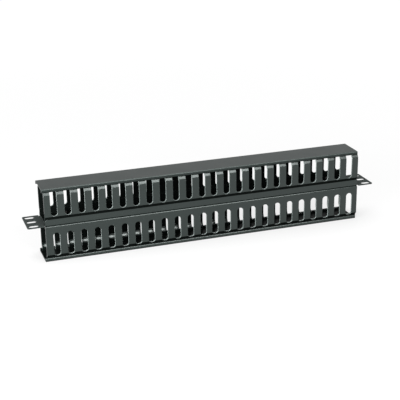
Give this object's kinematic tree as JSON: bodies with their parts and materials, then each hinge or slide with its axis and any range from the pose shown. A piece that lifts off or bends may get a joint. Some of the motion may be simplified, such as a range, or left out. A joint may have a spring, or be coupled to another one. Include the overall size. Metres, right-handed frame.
{
  "type": "horizontal cable manager",
  "caption": "Horizontal cable manager for equipment racks: an eared mounting panel between back-to-back slotted ducts with press-on covers.",
  "frame": {"origin": "middle of the base that it stands on, the outer face of the rear cover, centred between the rack ears", "axes": "+X along the length between the rack ears, +Y along the rack's height, +Z out of the front of the rack"},
  "size_m": [0.4826, 0.0436, 0.0983],
  "materials": {
    "black_powder_coat": "fine-textured satin powder coat",
    "blackened_steel": "black zinc plated"
  },
  "bodies": {
    "frame": {"mounting_panel": "black_powder_coat", "front_duct": "black_powder_coat", "rear_duct": "black_powder_coat", "screw_1": "blackened_steel", "screw_2": "blackened_steel", "screw_3": "blackened_steel", "screw_4": "blackened_steel", "screw_5": "blackened_steel", "screw_6": "blackened_steel", "screw_7": "blackened_steel", "screw_8": "blackened_steel", "nut_1": "blackened_steel", "nut_2": "blackened_steel", "nut_3": "blackened_steel", "nut_4": "blackened_steel", "nut_5": "blackened_steel", "nut_6": "blackened_steel", "nut_7": "blackened_steel", "nut_8": "blackened_steel"},
    "front_cover": {"front_cover": "black_powder_coat"},
    "rear_cover": {"rear_cover": "black_powder_coat"}
  },
  "joints": [
    {"name": "front_cover_pull", "type": "slide", "parent": "frame", "child": "front_cover", "axis": [0, 0, 1], "range_m": [0, 0.06]},
    {"name": "rear_cover_pull", "type": "slide", "parent": "frame", "child": "rear_cover", "axis": [0, 0, -1], "range_m": [0, 0.06]}
  ]
}
